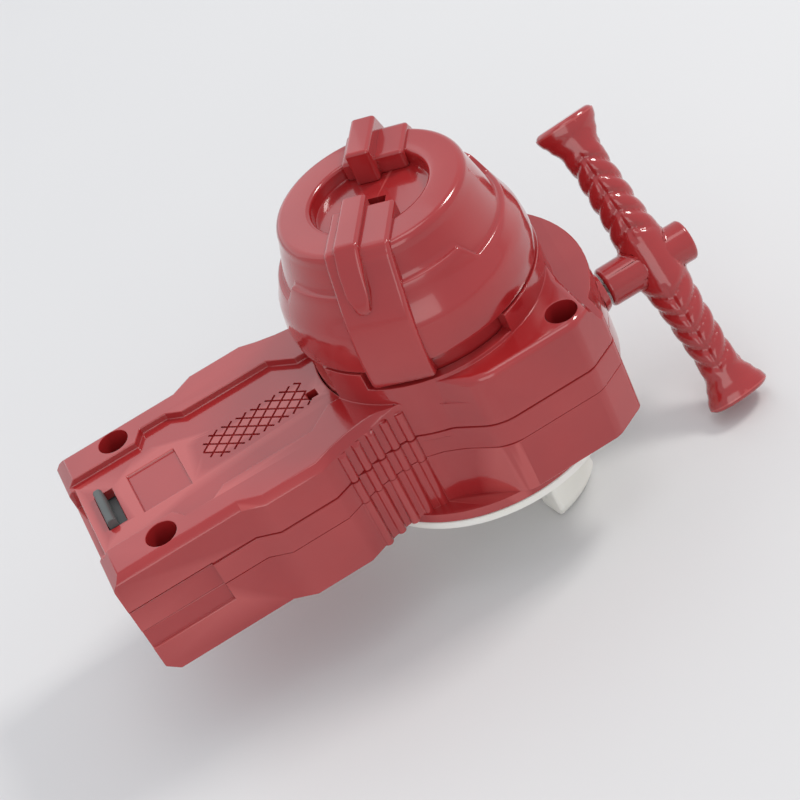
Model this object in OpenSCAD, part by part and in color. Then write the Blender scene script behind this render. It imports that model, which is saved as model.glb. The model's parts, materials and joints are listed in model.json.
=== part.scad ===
// Pull-cord spinning top launcher: a hand-held casing, a selector dial on top,
// a cord spool inside and a turning launch disc with two prongs underneath.
// Millimetres. Z is the launch axis, the cord leaves along +X, z = 0 is the face of the disc.

/* [Casing] */
// Launch axis to the end of the tail
tail_reach = 77; // [70:0.5:90]
// Width of the tail
tail_w = 42.2; // [41.6:0.2:45]
// Width of the belly ahead of the tail
belly_w = 47; // [45:0.2:50]
// Width at the ribbed waist
waist_w = 39.4; // [38.4:0.2:41]
// Width across the two wings
wing_w = 60; // [59.6:0.2:64]
// Radius of the round nose
nose_r = 32; // [31.6:0.1:35]
// Underside of the casing over the disc face
underside_h = 4.5; // [4.2:0.1:5.4]
// Seam between the two shells
seam_h = 16.6; // [16.2:0.1:16.9]
// Top of the side rails
rail_h = 31; // [30.4:0.1:32.4]
// Top of the wings
wing_h = 34; // [33.4:0.1:34.4]
// Top of the nose flange
flange_h = 28.6; // [28:0.1:29.4]
// Top of the collar
collar_h = 38.6; // [38:0.1:41]
// Outer radius of the collar
collar_r = 25; // [24.8:0.1:25.4]
// Shell thickness
wall = 2.2; // [2:0.1:2.4]
// Depth of the channel between the rails
channel_depth = 1.5; // [1:0.1:1.8]
// Chamfer along the upper edges
edge_cut = 1.4; // [0.8:0.1:1.8]

/* [Screws] */
// Counterbore over each casing screw
counterbore_d = 6.2; // [6:0.1:6.6]
// Casing screw shank
screw_d = 2.9; // [2.4:0.1:3.2]

/* [Selector] */
// Lower radius of the dial
dial_r = 24.8; // [24.4:0.1:26]
// Radius of the dial at its top rim
dial_top_r = 18; // [17:0.1:19]
// Height of the dial
dial_h = 22.3; // [20:0.1:26]
// Rest angle of the strap over the dial
strap_angle = -120; // [-124:1:-116]
// Width of the strap
strap_w = 12.4; // [11:0.2:13]
// Turn of the dial between its two stops
dial_turn = 33; // [28:1:36]

/* [Drive] */
// Radius of the launch disc
disc_r = 28.4; // [27.6:0.1:29]
// Thickness of the launch disc
disc_t = 1.8; // [1.6:0.1:2]
// Length of the prongs under the disc
prong_h = 17; // [15:0.5:20]
// Main shaft
shaft_d = 5; // [4.4:0.1:5.4]
// Gear module
gear_m = 0.8; // [0.76:0.01:0.84]
// Width of the cord winding
wind_w = 4.8; // [4.4:0.1:5]

/* [Cord and handle] */
// Cord thickness
cord_d = 1.8; // [1.4:0.1:2]
// Height of the cord over the disc face
cord_h = 13; // [12.9:0.1:13.1]
// Length of the handle bar
bar_len = 66; // [56:0.5:76]
// Width of the flared bar ends
bar_end_w = 13.6; // [12:0.2:16]
// Diameter of the handle stem
stem_d = 9.3; // [8.6:0.1:10]
// Lean of the bar about the cord
bar_lean = 33; // [0:1:45]

/* [Grip latch] */
// Length of the latch tab across the tail
tab_len = 10.5; // [8:0.5:12]
// Travel of the latch
latch_travel = 1.6; // [1:0.1:1.8]

/* [Hidden] */
$fn = 64;
e = 0.01;
run_fit = 0.05;
seat_fit = 0.02;
gap = 0.4;

red = [0.62, 0.09, 0.1];
white = [0.92, 0.92, 0.88];
steel = [0.7, 0.7, 0.72];
grey = [0.3, 0.33, 0.33];
brass = [0.75, 0.62, 0.35];
cord_col = [0.85, 0.84, 0.8];

// Heights
skirt_z = disc_t + gap;
floor_z = skirt_z + wall;
gear_z = floor_z + 0.6;
flange_t = 1.2;
spool_z = cord_h - wind_w / 2 - flange_t;
spool_top = cord_h + wind_w / 2 + flange_t;
gear_top = spool_z - 0.6;
cup_z = spool_top + gap;
cup_t = 1.5;
lid_z = collar_h - 5.6;
lid_t = 1.6;
lip_z = collar_h - 7.6;
channel_z = rail_h - channel_depth;
roof_z = channel_z - wall;
flange_in = flange_h - wall;
dial_z = collar_h + gap;
dial_top = dial_z + dial_h;
cam_z = dial_z + 0.8;
cam_t = 1.8;
head_z = 20;

// Plan sizes
bore_r = waist_w / 2 + 2.4;
neck_r = bore_r - 3;
collar_in = collar_r - 2.2;
collar_wide = collar_r - 1.1;
skirt_r = disc_r + 0.3;
end_x = 25.6;
wall_x = 22.5;
jog_a = -33.5 - 0.38 * (tail_reach - 33.5);
jog_b = -33.5 - 0.276 * (tail_reach - 33.5);
waist_x = -18;
tail_y = tail_w / 2;
belly_y = belly_w / 2;
wing_y = wing_w / 2;
tail_screw = [-tail_reach + 12.6, tail_y - 4.75];
wing_screw = [18.4, wing_y - 4.9];
cavity_y = waist_w / 2 - wall - 0.4;
cavity_x = -tail_reach + 3.4;

function waist_y(x) = let (
        u = x < waist_x ? (x - waist_x) / (-33.5 - waist_x) : (x - waist_x) / (-8 - waist_x),
        top = x < waist_x ? belly_y : 24)
    waist_w / 2 + (top - waist_w / 2) * u * u;

// Half outline from the tail to the nose
side = concat(
    [[-tail_reach, tail_y], [jog_a, tail_y], [jog_b, belly_y]],
    [for (i = [0 : 7]) let (x = -33.5 + i * 25.5 / 7) [x, waist_y(x)]],
    [[-1.5, wing_y], [18.6, wing_y], [end_x, wing_y - 4.2]]);
nose_a = acos(end_x / nose_r);
nose = [for (i = [0 : 16]) let (a = nose_a * (1 - i / 8)) [nose_r * cos(a), nose_r * sin(a)]];
other_side = [for (i = [len(side) - 1 : -1 : 0]) [side[i][0], -side[i][1]]];
outline = concat(side, nose, other_side);

// Cuts a chamfer along the upper edge of a loop at height z
module edge_cuts(loop, z) {
    h = edge_cut * sqrt(2);
    for (i = [0 : len(loop) - 2]) {
        d = loop[i + 1] - loop[i];
        translate([loop[i][0], loop[i][1], z])
            rotate([0, 0, atan2(d[1], d[0])])
                rotate([45, 0, 0])
                    translate([-0.3, -h / 2, -h / 2])
                        cube([norm(d) + 0.6, h, h]);
    }
}

tail_loop = concat([for (p = side) if (p[0] < -11) p], [for (p = other_side) if (p[0] < -11) p]);
wall_y = wing_y - (wall_x - 18.6) * 4.2 / (end_x - 18.6);
wing_loop = [[-9, wing_y - 7.6], [-1.5, wing_y], [18.6, wing_y], [wall_x, wall_y],
    [wall_x, -wall_y], [18.6, -wing_y], [-1.5, -wing_y], [-9, 7.6 - wing_y]];

head_loop = concat([[-16, 10]], [for (p = outline) if (p[0] > -12) p], [[-16, -10]]);

// Part of a ring between two angles
module sector(r, z0, z1, a0, a1) {
    translate([0, 0, z0])
        rotate([0, 0, a0])
            rotate_extrude(angle = a1 - a0)
                square([r, z1 - z0]);
}

module tube(r_out, r_in, z0, z1) {
    translate([0, 0, z0])
        difference() {
            cylinder(r = r_out, h = z1 - z0);
            translate([0, 0, -e])
                cylinder(r = r_in, h = z1 - z0 + 2 * e);
        }
}

module screw_spots() {
    for (p = [tail_screw, wing_screw], s = [1, -1])
        translate([p[0], s * p[1], 0])
            children();
}

module grip_ribs(z0, z1) {
    for (i = [0 : 4], s = [1, -1]) {
        x = -29 + 3.25 * i;
        translate([x, s * (waist_y(x) - 0.2), z0])
            cylinder(r = 1, h = z1 - z0, $fn = 24);
    }
}

// Shallow plates on both sides of the tail that the grip slides over
module rail_recess() {
    for (s = [1, -1])
        translate([-tail_reach - e, s > 0 ? tail_y - 0.6 : -tail_y - 1, 12.2])
            cube([17.7, 1.6, 10.4]);
}

module tail_chamfers() {
    for (z = [underside_h, rail_h])
        translate([-tail_reach, 0, z])
            rotate([0, 45, 0])
                cube([3.3, tail_w + 10, 3.3], center = true);
}

// Cone that trims the lower edge of the nose
module nose_trim() {
    intersection() {
        rotate_extrude()
            polygon([[skirt_r, underside_h - 3], [skirt_r, underside_h], [nose_r + 0.5, 9.5],
                [nose_r + 9, 9.5], [nose_r + 9, underside_h - 3]]);
        translate([18, 9 - wing_y, 0])
            cube([40, 2 * wing_y - 18, 12]);
    }
}

module lower_shell() {
    color(red)
        difference() {
            union() {
                translate([0, 0, underside_h])
                    linear_extrude(seam_h - underside_h)
                        polygon(outline);
                translate([0, 0, skirt_z])
                    cylinder(r = skirt_r, h = underside_h - skirt_z);
                translate([0, 0, skirt_z])
                    cylinder(r = bore_r + 1.5, h = underside_h + wall - skirt_z);
                grip_ribs(underside_h, seam_h);
            }
            nose_trim();
            tail_chamfers();
            rail_recess();
            translate([0, 0, floor_z])
                cylinder(r = bore_r, h = seam_h);
            difference() {
                translate([cavity_x, -cavity_y, underside_h + wall])
                    cube([-22 - cavity_x, 2 * cavity_y, seam_h]);
                for (s = [1, -1])
                    translate([tail_screw[0], s * tail_screw[1], 0])
                        cylinder(r = 4.4, h = 60);
                for (s = [1, -1])
                    translate([cavity_x - e, s * 7 - 1, 0])
                        cube([15, 2, 60]);
            }
            screw_spots()
                translate([0, 0, head_z - 12.3])
                    cylinder(d = screw_d + 2 * run_fit, h = 30);
            translate([0, 0, -e])
                cylinder(r = hub_r + 2 + seat_fit, h = 10);
            for (i = [0 : 2])
                rotate([0, 0, 120 * i])
                    translate([idler_x, 0, skirt_z + 0.8])
                        cylinder(d = pin_d + 2 * seat_fit, h = 10);
            translate([0, 0, cord_h])
                rotate([0, 90, 0])
                    cylinder(r = eyelet_r + seat_fit, h = 50);
        }
}

module upper_shell() {
    color(red)
        difference() {
            union() {
                translate([0, 0, seam_h])
                    linear_extrude(flange_h - seam_h)
                        polygon(head_loop);
                translate([0, 0, seam_h])
                    linear_extrude(rail_h - seam_h)
                        polygon(tail_loop);
                translate([0, 0, flange_h - 1])
                    linear_extrude(wing_h - flange_h + 1)
                        polygon(wing_loop);
                translate([0, 0, seam_h + 4])
                    cylinder(r = collar_r, h = collar_h - seam_h - 4);
                grip_ribs(seam_h, rail_h - edge_cut - 0.4);
            }
            tail_chamfers();
            edge_cuts([side[0] - [1, 0], side[1]], rail_h);
            edge_cuts([[side[1][0], -side[1][1]], [side[0][0] - 1, -side[0][1]]], rail_h);
            rail_recess();
            translate([0, 0, channel_z])
                linear_extrude(10)
                    polygon(concat(channel_half, [for (i = [len(channel_half) - 1 : -1 : 0])
                        [channel_half[i][0], -channel_half[i][1]]]));
            translate([-tail_reach - 1, -11, roof_z - 2])
                cube([2.6, 22, 20]);
            // Maker's place, left bare
            translate([-tail_reach + 11.7, -6.2, channel_z - 0.5])
                cube([10.3, 12.4, 5]);
            translate([-28, -2.8, channel_z - 8])
                cube([2, 2.2, 12]);
            translate([tab_x - 1.1, -tab_len / 2 - 0.3, roof_z - 1])
                cube([2.2 + latch_travel, tab_len + 0.6, 10]);
            translate([0, 0, seam_h - e])
                cylinder(r = bore_r, h = cup_z + cup_t - seam_h + e);
            translate([0, 0, seam_h])
                cylinder(r = neck_r, h = flange_in - seam_h);
            translate([0, 0, flange_in - e])
                cylinder(r = collar_wide, h = lip_z - flange_in);
            translate([0, 0, flange_in])
                cylinder(r = collar_in, h = 40);
            for (a = [0, 180])
                sector(40, wing_h + 0.8, collar_h + 2, strap_angle + a - 18, strap_angle + a + 18 + dial_turn);
            difference() {
                translate([cavity_x, -cavity_y, seam_h - e])
                    cube([-22 - cavity_x, 2 * cavity_y, roof_z - seam_h]);
                for (s = [1, -1])
                    translate([tail_screw[0], s * tail_screw[1], 0])
                        cylinder(r = 4.4, h = 60);
                translate([stop_x, -4, seam_h + 4])
                    cube([2, 8, 20]);
            }
            screw_spots() {
                translate([0, 0, head_z])
                    cylinder(d = counterbore_d, h = 30);
                cylinder(d = screw_d + 2 * run_fit, h = 30);
            }
            for (i = [0 : 2])
                rotate([0, 0, 60 + 120 * i])
                    translate([cup_screw_r, 0, cup_z])
                        cylinder(d = 1.6 + 2 * seat_fit, h = cup_t + 5);
        }
}

channel_half = [[-tail_reach - 1, 12.3], [-tail_reach + 16.3, 12.3], [-tail_reach + 18.3, 15.4],
    [jog_a - 3, 15.4], [jog_a, 13.2], [-31, 13.2], [-26, 9], [-18, 9]];

// Casing screws
module casing_screws() {
    color(steel)
        screw_spots()
            translate([0, 0, head_z]) {
                difference() {
                    cylinder(d = counterbore_d - 0.7, h = 2);
                    translate([0, 0, 1])
                        for (a = [0, 90])
                            rotate([0, 0, a])
                                translate([-1.6, -0.3, 0])
                                    cube([3.2, 0.6, 2]);
                }
                translate([0, 0, -12])
                    cylinder(d = screw_d, h = 12 + e);
            }
}

// Cord outlet in the nose
eyelet_r = 2.6;
module cord_eyelet() {
    color(red)
        translate([0, 0, cord_h])
            rotate([0, 90, 0])
                difference() {
                    union() {
                        translate([0, 0, bore_r - 0.6])
                            cylinder(r = eyelet_r, h = nose_r + 0.6 - bore_r);
                        translate([0, 0, nose_r])
                            cylinder(r1 = 4.6, r2 = 3.9, h = 1.4);
                    }
                    cylinder(d = cord_d + 0.7, h = 50);
                }
}

// Drive
hub_r = shaft_d / 2 + 2.5;
module hub_bush() {
    color(brass)
        tube(hub_r + 2, hub_r + run_fit, skirt_z, floor_z);
}

sun_t = 12;
ring_t = 36;
pitch_r = gear_m * sun_t / 2;
idler_x = 2 * pitch_r;
pin_d = 3;

// Outline of a gear with involute flanks
function inv_pt(rb, r) = let (t = sqrt(max(0, r * r / (rb * rb) - 1))) t * 180 / PI - atan(t);
function flank(rb, r) = r < rb ? 0 : inv_pt(rb, r);
function gear_loop(teeth, add, ded, slack) = let (
        rp = gear_m * teeth / 2,
        rb = rp * cos(20),
        half = 90 / teeth - slack / 2 / rp * 180 / PI,
        ra = rp + add,
        rd = rp - ded,
        rs = [rd, max(rd, rb), rp, ra])
    [for (k = [0 : teeth - 1], i = [0 : 7]) let (
            j = i < 4 ? i : 7 - i,
            a = half + inv_pt(rb, rp) - flank(rb, rs[j]),
            t = 360 * k / teeth + (i < 4 ? -a : a))
        [rs[j] * cos(t), rs[j] * sin(t)]];

module pinion(bore) {
    translate([0, 0, gear_z])
        difference() {
            linear_extrude(gear_top - gear_z)
                polygon(gear_loop(sun_t, 0.62 * gear_m, 0.85 * gear_m, 0.26));
            translate([0, 0, -e])
                cylinder(d = bore, h = 20);
        }
}

module sun_pinion() {
    color(steel)
        pinion(shaft_d + 2 * seat_fit);
}

module idler(k) {
    color(white)
        rotate([0, 0, 120 * k])
            translate([idler_x, 0, 0])
                rotate([0, 0, 15])
                    pinion(pin_d + 2 * run_fit);
}

module idler_gear_1() idler(0);
module idler_gear_2() idler(1);
module idler_gear_3() idler(2);

module idler_pins() {
    color(steel)
        for (i = [0 : 2])
            rotate([0, 0, 120 * i])
                translate([idler_x, 0, skirt_z + 0.8])
                    cylinder(d = pin_d, h = gear_top + 0.2 - skirt_z - 0.8);
}

module ring_gear() {
    color(white)
        difference() {
            translate([0, 0, gear_z])
                cylinder(r = gear_m * ring_t / 2 + 2.6, h = spool_z - gear_z);
            translate([0, 0, gear_z - 1])
                linear_extrude(20)
                    rotate([0, 0, 5])
                        polygon(gear_loop(ring_t, 0.85 * gear_m, 0.5 * gear_m, -0.26));
        }
}

core_r = bore_r - 7.5;
spool_r = bore_r - 1.6;
wind_r = spool_r - 2.3;
arbor_r = shaft_d / 2 + 2.5;
module cord_spool() {
    color(white)
        difference() {
            union() {
                translate([0, 0, spool_z])
                    cylinder(r = spool_r, h = flange_t);
                translate([0, 0, spool_z])
                    cylinder(r = core_r, h = spool_top - spool_z);
                translate([0, 0, spool_top - flange_t])
                    cylinder(r = spool_r, h = flange_t);
                translate([0, 0, spool_z])
                    cylinder(r = arbor_r, h = lid_z - 3 - spool_z);
            }
            translate([0, 0, spool_z - 1])
                cylinder(d = shaft_d + 0.6, h = 50);
        }
}

module cord_winding() {
    color(cord_col)
        tube(wind_r, core_r, cord_h - wind_w / 2, cord_h + wind_w / 2);
}

// Stretch of cord from the winding to the outlet
lead_x = bore_r - 1.6;
lead_r = wind_r + cord_d / 2 + 0.3;
lead_a = acos(lead_r / lead_x);
module cord_lead() {
    color(cord_col)
        translate([lead_x, 0, cord_h])
            rotate([0, 0, 90 + lead_a])
                rotate([0, 90, 0])
                    cylinder(d = cord_d, h = lead_x * sin(lead_a) - 0.6, $fn = 24);
}

module spring_cup() {
    color(white)
        difference() {
            union() {
                tube(bore_r - 0.2, arbor_r + 0.3, cup_z, cup_z + cup_t);
                tube(cup_r, cup_r - 1.5, cup_z, lid_z);
            }
            for (i = [0 : 2])
                rotate([0, 0, 60 + 120 * i])
                    translate([cup_screw_r, 0, cup_z - 1]) {
                        cylinder(d = 1.6 + 2 * run_fit, h = 10);
                        cylinder(d = 2.2 + 2 * run_fit, h = 1.8);
                    }
        }
}

cup_r = bore_r - 3.5;
cup_screw_r = bore_r - 1.9;
module cup_screws() {
    color(steel)
        for (i = [0 : 2])
            rotate([0, 0, 60 + 120 * i])
                translate([cup_screw_r, 0, cup_z + 0.1]) {
                    cylinder(d = 1.6, h = cup_t + 3.9);
                    cylinder(d = 2.2, h = 0.7);
                }
}

// Flat spiral that winds the cord back in
spring_n = 100;
spring_in = arbor_r + 0.15;
spring_out = cup_r - 1.9;
function coil_r(i) = spring_in + (spring_out - spring_in) * i / spring_n;
module recoil_spring() {
    color(steel)
        translate([0, 0, cup_z + cup_t + 1])
            linear_extrude(8)
                polygon(concat(
                    [for (i = [0 : spring_n]) let (a = i * 18) coil_r(i) * [cos(a), sin(a)]],
                    [for (i = [spring_n : -1 : 0]) let (a = i * 18) (coil_r(i) + 0.4) * [cos(a), sin(a)]]));
}

bush_r = shaft_d / 2 + 2;
module spring_lid() {
    color(white)
        tube(cup_r, bush_r + seat_fit, lid_z, lid_z + lid_t);
}

module upper_bush() {
    color(brass)
        tube(bush_r, shaft_d / 2 + run_fit, lid_z - 0.8, lid_z + lid_t + 0.5);
}

module main_shaft() {
    color(steel)
        translate([0, 0, socket_top + 0.6])
            cylinder(d = shaft_d, h = lid_z + lid_t + 3.5 - socket_top - 0.6);
}

module shift_collar() {
    color(grey)
        tube(shaft_d / 2 + 3, shaft_d / 2 + seat_fit, lid_z + lid_t + 0.8, lid_z + lid_t + 3.4);
}

// Launch disc with its centre socket
socket_d = 8;
socket_top = 0.6;
module launch_disc() {
    color(white)
        difference() {
            union() {
                cylinder(r = disc_r, h = disc_t, $fn = 96);
                cylinder(r = hub_r, h = gear_z - 0.2);
                translate([0, 0, -4])
                    cylinder(d = socket_d + 4.4, h = 4 + e);
            }
            translate([0, 0, -5])
                cylinder(d = socket_d, h = 5 + socket_top);
            translate([0, 0, socket_top + 0.6])
                cylinder(d = shaft_d + 2 * seat_fit, h = 20);
        }
}

prong_r = 17;
module prong(a) {
    color(white)
        rotate([0, 0, a - 21])
            rotate_extrude(angle = 42)
                polygon([[prong_r - 2.4, 0], [prong_r + 2.2, 0], [prong_r + 1.9, -prong_h * 0.6],
                    [prong_r + 2.4, -prong_h + 2.2], [prong_r + 1, -prong_h], [prong_r - 4.6, -prong_h],
                    [prong_r - 5.4, -prong_h + 2], [prong_r - 2, -prong_h + 4.6]]);
}

module prong_front() prong(-57);
module prong_back() prong(123);

// Selector dial
function upper_r(z) = dial_top_r + 0.6 + (dial_top - 1.4 - z) * (dial_r - 3.4 - dial_top_r - 0.6) / (dial_h - 12.9);
step_lo = dial_z + 11.5;
step_hi = dial_z + 15.8;
skin = 2.3;
module dial_body() {
    rotate_extrude($fn = 96)
        polygon([[0, lip_z - 0.2], [collar_in - 0.3, lip_z - 0.2], [collar_in - 0.3, dial_z],
            [dial_r, dial_z], [dial_r + 0.1, dial_z + 3], [dial_r - 0.5, dial_z + 7],
            [upper_r(step_lo) + 0.9, step_lo], [upper_r(step_lo), step_lo], [upper_r(dial_top - 1.4), dial_top - 1.4],
            [dial_top_r, dial_top - 0.4], [dial_top_r - 0.8, dial_top], [0, dial_top]]);
    // Higher part of the step beside each strap
    for (a = [0, 180])
        rotate([0, 0, strap_angle + a - 56])
            rotate_extrude(angle = 112, $fn = 96)
                polygon([[upper_r(step_lo) - 1.4, step_lo - 1], [upper_r(step_lo) + 0.7, step_lo - 0.6],
                    [upper_r(step_hi) + 0.8, step_hi], [upper_r(step_hi) - 1.4, step_hi]]);
}

module strip(y0, y1, pts) {
    translate([0, y1, 0])
        rotate([90, 0, 0])
            linear_extrude(y1 - y0)
                polygon(pts);
}

module strap(flip, start, rise) {
    w = strap_w / 2;
    y = flip ? -1 : 1;
    top = dial_top;
    strip(-w, w, [[start + 2, top - 3.2], [start + 2, top + 1], [dial_top_r - 0.4, top + 1],
        [dial_top_r + 1.8, top - 1], [upper_r(step_hi) + 2.1, step_hi], [dial_r + 0.3, dial_z + 8],
        [dial_r + 1.3, dial_z], [dial_r + 1.3, dial_z - 3.6], [collar_in + 0.7, dial_z - 3.6],
        [collar_in + 0.7, dial_z], [dial_r - 3, dial_z + 3], [dial_top_r - 2.5, top - 3.2]]);
    ridge = [[start, top - 3.2], [start, top + rise], [dial_top_r, top + rise], [dial_top_r + 2.8, top - 1.4],
        [upper_r(step_hi) + 3, step_hi + 0.6], [upper_r(step_hi) + 2, step_hi - 1.6], [dial_top_r - 2.5, top - 3.2]];
    strip(min(-4 * y, 0.8 * y), max(-4 * y, 0.8 * y), ridge);
}

module selector_dial() {
    color(red)
        difference() {
            union() {
                difference() {
                    dial_body();
                    translate([0, 0, dial_top - 3])
                        cylinder(r = 11.5, h = 10);
                }
                rotate([0, 0, strap_angle])
                    strap(false, 1.8, 2.2);
                rotate([0, 0, strap_angle + 180])
                    strap(true, 6.5, 4.2);
            }
            rotate([0, 0, strap_angle])
                difference() {
                    rotate_extrude()
                        polygon([[0, lip_z - 1], [collar_in - 1.8, lip_z - 1], [collar_in - 1.8, dial_z + 3],
                            [upper_r(step_lo) - skin, step_lo], [upper_r(dial_top - 5.2) - skin, dial_top - 5.2],
                            [0, dial_top - 5.2]]);
                    for (x = [14, -14])
                        translate([x, 0, cam_z + cam_t])
                            cylinder(r = 2.8, h = 30);
                }
            rotate([0, 0, strap_angle])
                for (x = [14, -14])
                    translate([x, 0, cam_z + cam_t - e])
                        cylinder(d = 2 + 2 * run_fit, h = 6);
            rotate([0, 0, strap_angle])
                translate([-1.6, -2.2, dial_top - 8])
                    cube([3.2, 4.4, 10]);
        }
}

module selector_cam() {
    color(grey)
        rotate([0, 0, strap_angle])
            difference() {
                tube(collar_in - 2.1, 5, cam_z, cam_z + cam_t);
                for (x = [14, -14])
                    translate([x, 0, cam_z - 1])
                        cylinder(d = 2 + 2 * run_fit, h = 10);
            }
}

module cam_screws() {
    color(steel)
        rotate([0, 0, strap_angle])
            for (x = [14, -14])
                translate([x, 0, cam_z - 1.4]) {
                    cylinder(d = 4, h = 1.4);
                    cylinder(d = 2, h = cam_t + 6);
                }
}

module dial_retainer() {
    color(white)
        tube(collar_wide - 0.2, collar_in - 2, lip_z - 1.8, lip_z - 0.2);
}

// Pull handle
hub_x = nose_r + 13.3;
stem_x = nose_r + 2;
boss_x = hub_x + 8.4;
bar_n = 20;
half_w = [[0, 4.9], [0.22, 4.4], [0.4, 3.8], [0.66, 3.6], [0.8, 4.2], [0.92, bar_end_w / 2 - 0.5], [1, bar_end_w / 2]];
half_d = [[0, 4.7], [0.4, 3.7], [0.7, 3.4], [0.92, 3.7], [1, 3.9]];
stations = [-1, -0.92, -0.86, -0.8, -0.66, -0.4, -0.22, 0, 0.22, 0.4, 0.66, 0.8, 0.86, 0.92, 1];
module bar() {
    m = len(stations);
    pts = [for (s = stations, i = [0 : bar_n - 1]) let (t = 360 * i / bar_n)
        [lookup(abs(s), half_w) * cos(t), lookup(abs(s), half_d) * sin(t), s * bar_len / 2]];
    faces = concat(
        [[for (i = [0 : bar_n - 1]) i]],
        [[for (i = [bar_n - 1 : -1 : 0]) (m - 1) * bar_n + i]],
        [for (k = [0 : m - 2], i = [0 : bar_n - 1]) let (j = (i + 1) % bar_n)
            [k * bar_n + i, (k + 1) * bar_n + i, (k + 1) * bar_n + j]],
        [for (k = [0 : m - 2], i = [0 : bar_n - 1]) let (j = (i + 1) % bar_n)
            [k * bar_n + i, (k + 1) * bar_n + j, k * bar_n + j]]);
    polyhedron(pts, faces, convexity = 4);
}

knot_r = 2.2;
module pull_handle() {
    color(red)
        translate([0, 0, cord_h])
            difference() {
                union() {
                    translate([hub_x, 0, 0])
                        rotate([-bar_lean, 0, 0])
                            rotate([0, -3, 0])
                                bar();
                    translate([stem_x, 0, 0])
                        rotate([0, 90, 0])
                            cylinder(d = stem_d, h = hub_x - stem_x);
                    translate([hub_x - 2, 0, 0])
                        rotate([0, 90, 0])
                            cylinder(d1 = stem_d, d2 = stem_d + 0.6, h = boss_x - hub_x + 2);
                }
                rotate([0, 90, 0])
                    cylinder(d = cord_d + 0.7, h = 100);
                translate([hub_x + 2, 0, 0])
                    rotate([0, 90, 0])
                        cylinder(r = knot_r + 0.4, h = 50);
            }
}

module handle_plug() {
    color(red)
        translate([boss_x - 1.6, 0, cord_h])
            rotate([0, 90, 0])
                cylinder(r = knot_r + 0.4 - seat_fit, h = 1.9);
}

module cord_pull() {
    color(cord_col)
        translate([bore_r - 0.6, 0, cord_h])
            rotate([0, 90, 0])
                cylinder(d = cord_d, h = hub_x + 3.2 - bore_r, $fn = 24);
}

module cord_knot() {
    color(cord_col)
        difference() {
            translate([hub_x + 2.1 + knot_r, 0, cord_h])
                sphere(r = knot_r, $fn = 32);
            cord_pull();
        }
}

// Grip latch
tab_x = -tail_reach + 5.4;
plate_x = tab_x - 1;
stop_x = plate_x + 19;
module grip_latch() {
    color(grey) {
        translate([plate_x, -7.5, roof_z - 2.8])
            cube([11, 15, 2.5]);
        translate([tab_x - 0.9, -tab_len / 2, roof_z - 0.4])
            cube([1.8, tab_len, channel_z + 1.2 - roof_z + 0.4]);
        translate([tab_x, tab_len / 2, channel_z + 1.2 - e])
            rotate([90, 0, 0])
                linear_extrude(tab_len)
                    polygon([[-0.9, 0], [0.9, 0], [0.5, 0.6], [-0.5, 0.6]]);
    }
}

module latch_spring() {
    color(steel)
        translate([plate_x + 11, 0, roof_z - 1.9])
            rotate([0, 90, 0])
                tube(1.8, 1.3, 0, stop_x - plate_x - 11);
}

lower_shell();
upper_shell();
casing_screws();
cord_eyelet();
hub_bush();
idler_pins();
spring_cup();
spring_lid();
cup_screws();
upper_bush();
recoil_spring();
cord_lead();
latch_spring();
selector_dial();
selector_cam();
cam_screws();
dial_retainer();
cord_spool();
ring_gear();
cord_winding();
idler_gear_1();
idler_gear_2();
idler_gear_3();
launch_disc();
prong_front();
prong_back();
main_shaft();
sun_pinion();
shift_collar();
cord_pull();
cord_knot();
pull_handle();
handle_plug();
grip_latch();
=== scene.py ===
import json
import math
import bpy
import bmesh
from mathutils import Vector, Matrix
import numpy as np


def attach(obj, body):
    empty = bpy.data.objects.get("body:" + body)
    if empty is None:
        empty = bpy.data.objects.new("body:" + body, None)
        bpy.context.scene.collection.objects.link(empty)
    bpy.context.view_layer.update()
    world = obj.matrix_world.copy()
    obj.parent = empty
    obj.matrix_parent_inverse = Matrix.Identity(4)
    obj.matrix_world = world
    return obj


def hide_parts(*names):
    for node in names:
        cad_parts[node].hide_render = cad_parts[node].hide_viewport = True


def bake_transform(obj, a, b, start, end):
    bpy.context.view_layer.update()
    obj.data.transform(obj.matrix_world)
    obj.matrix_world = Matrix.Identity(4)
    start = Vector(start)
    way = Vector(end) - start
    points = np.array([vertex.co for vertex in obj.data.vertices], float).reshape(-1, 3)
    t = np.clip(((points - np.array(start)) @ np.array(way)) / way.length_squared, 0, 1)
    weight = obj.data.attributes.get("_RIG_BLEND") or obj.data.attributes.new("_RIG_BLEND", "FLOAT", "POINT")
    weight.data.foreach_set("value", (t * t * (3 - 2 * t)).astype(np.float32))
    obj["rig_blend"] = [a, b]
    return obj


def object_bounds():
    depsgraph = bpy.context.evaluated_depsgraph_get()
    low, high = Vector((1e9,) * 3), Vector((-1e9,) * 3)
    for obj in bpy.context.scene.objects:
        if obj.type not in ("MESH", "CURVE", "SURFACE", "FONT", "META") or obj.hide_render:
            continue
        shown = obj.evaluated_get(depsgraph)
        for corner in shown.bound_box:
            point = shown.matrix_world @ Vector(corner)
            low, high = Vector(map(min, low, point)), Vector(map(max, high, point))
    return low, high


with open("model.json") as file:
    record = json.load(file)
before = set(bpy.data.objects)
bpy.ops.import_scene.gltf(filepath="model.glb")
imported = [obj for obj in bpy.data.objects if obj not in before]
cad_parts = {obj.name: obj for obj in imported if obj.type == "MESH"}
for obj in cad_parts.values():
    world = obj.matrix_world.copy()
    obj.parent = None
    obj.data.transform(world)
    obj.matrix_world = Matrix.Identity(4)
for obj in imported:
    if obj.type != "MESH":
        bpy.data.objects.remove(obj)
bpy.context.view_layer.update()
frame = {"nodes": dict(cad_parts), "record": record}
mm = 0.001
print("frame loaded:", len(frame["nodes"]), "nodes")


# small helpers for selecting and finishing, used by every piece
def pick(obj):
    bpy.ops.object.select_all(action="DESELECT")
    obj.select_set(True)
    bpy.context.view_layer.objects.active = obj


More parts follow.
